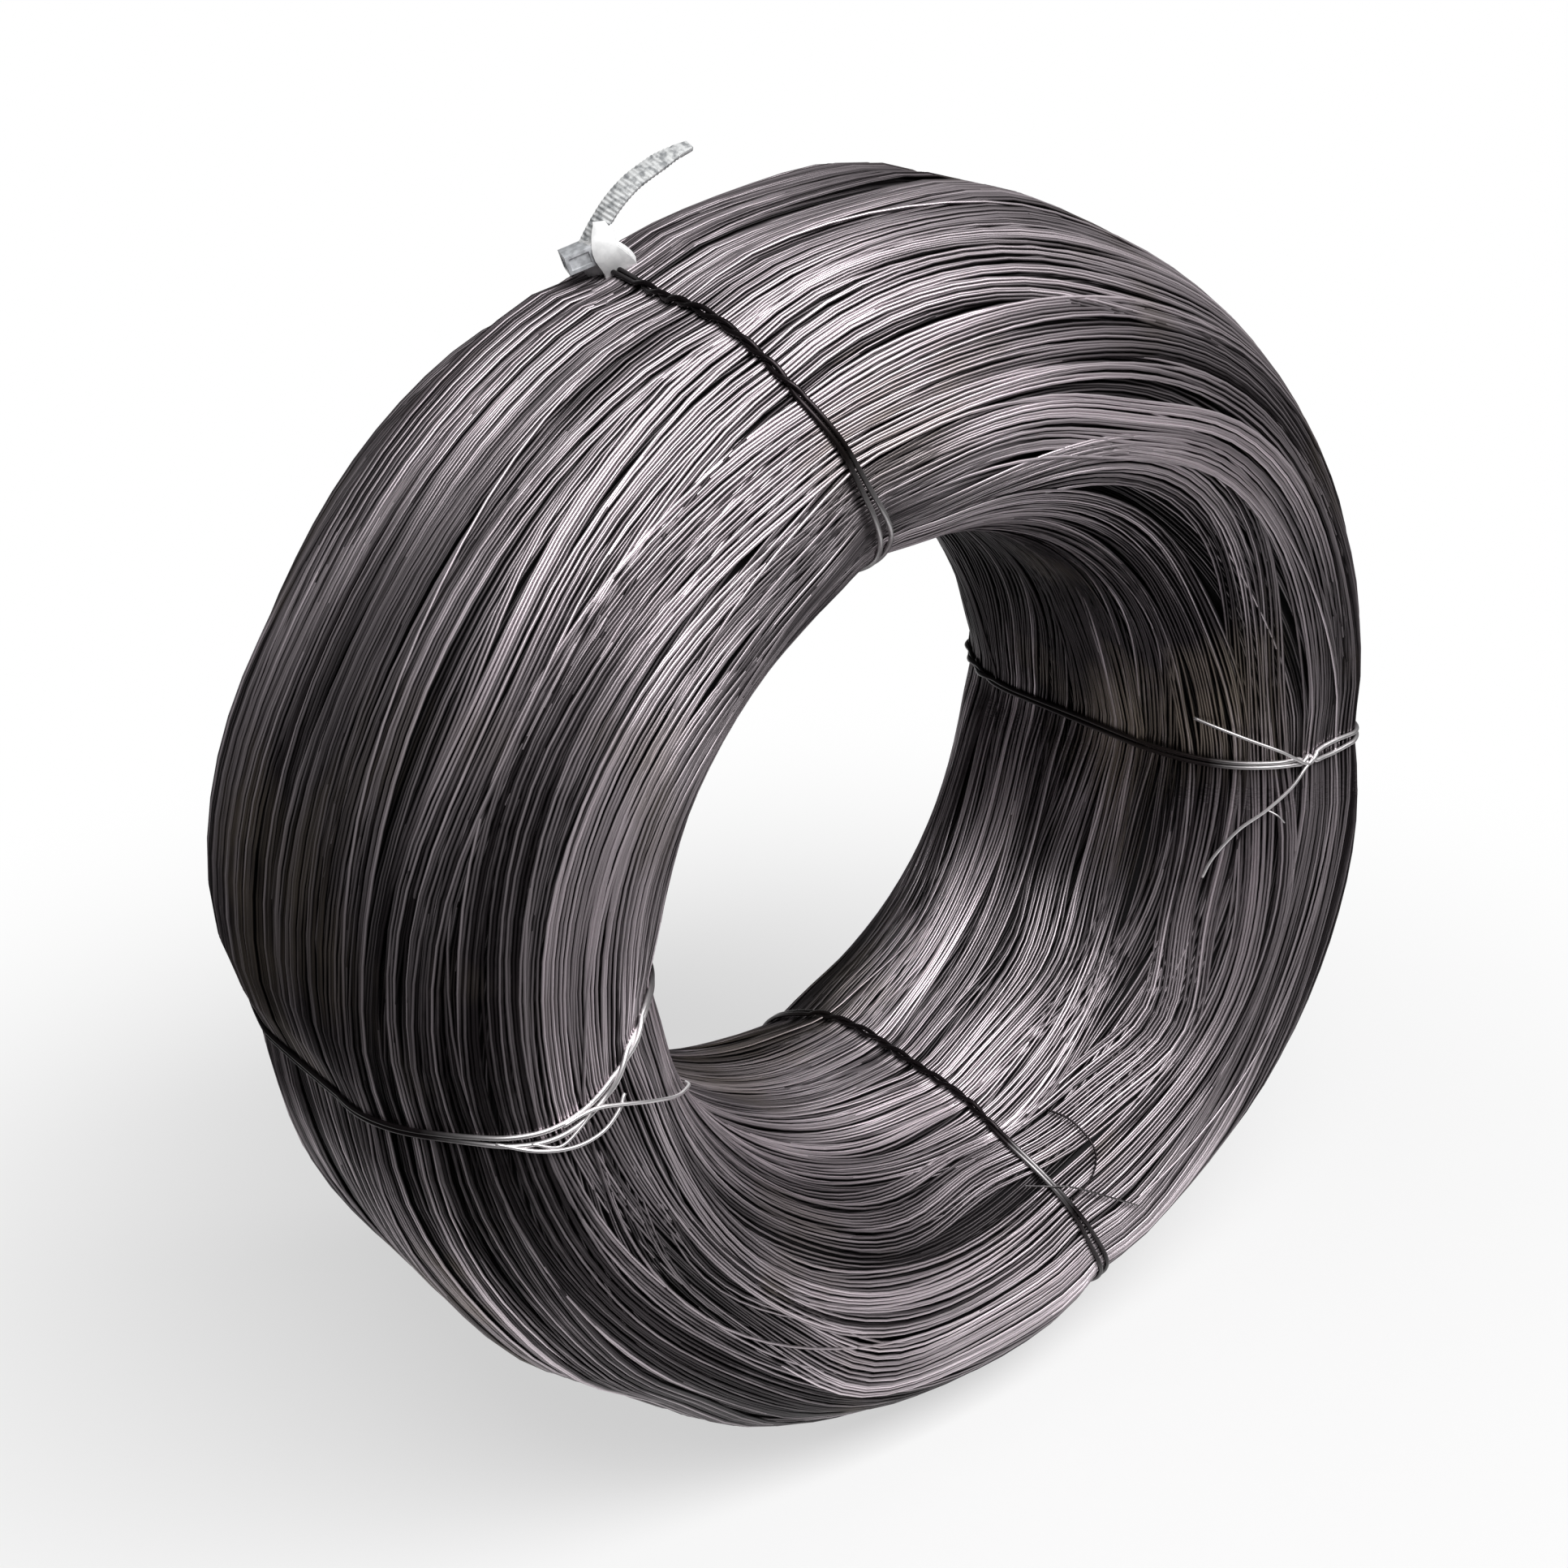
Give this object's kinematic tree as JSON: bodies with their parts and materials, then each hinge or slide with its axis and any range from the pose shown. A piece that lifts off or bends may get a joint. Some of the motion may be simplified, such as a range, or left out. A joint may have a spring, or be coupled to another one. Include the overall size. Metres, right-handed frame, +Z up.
{
  "type": "coil of annealed binding wire",
  "caption": "Thick ring-shaped coil of fine black annealed iron wire, held by wire ties round its section, with a white nylon cable tie on the top one.",
  "frame": {"origin": "centre of the coil, on the bore's axis halfway along the bore", "axes": "+Y along the bore from the front end to the back end, +Z up with the coil standing on its rim, +X to the right when the front end is seen"},
  "size_m": [0.318, 0.1403, 0.3335],
  "materials": {
    "annealed_wire": "black annealed oxide, dull satin with fine bright glints along the wire",
    "tie_wire": "black annealed oxide, rubbed bright on the loose ends",
    "nylon": "natural white nylon, slightly translucent, ribbed tail"
  },
  "bodies": {
    "root": {"wire_coil": "annealed_wire", "tie_top": "tie_wire", "tie_right": "tie_wire", "tie_bottom": "tie_wire", "tie_left": "tie_wire", "cable_tie": "nylon"}
  },
  "joints": []
}
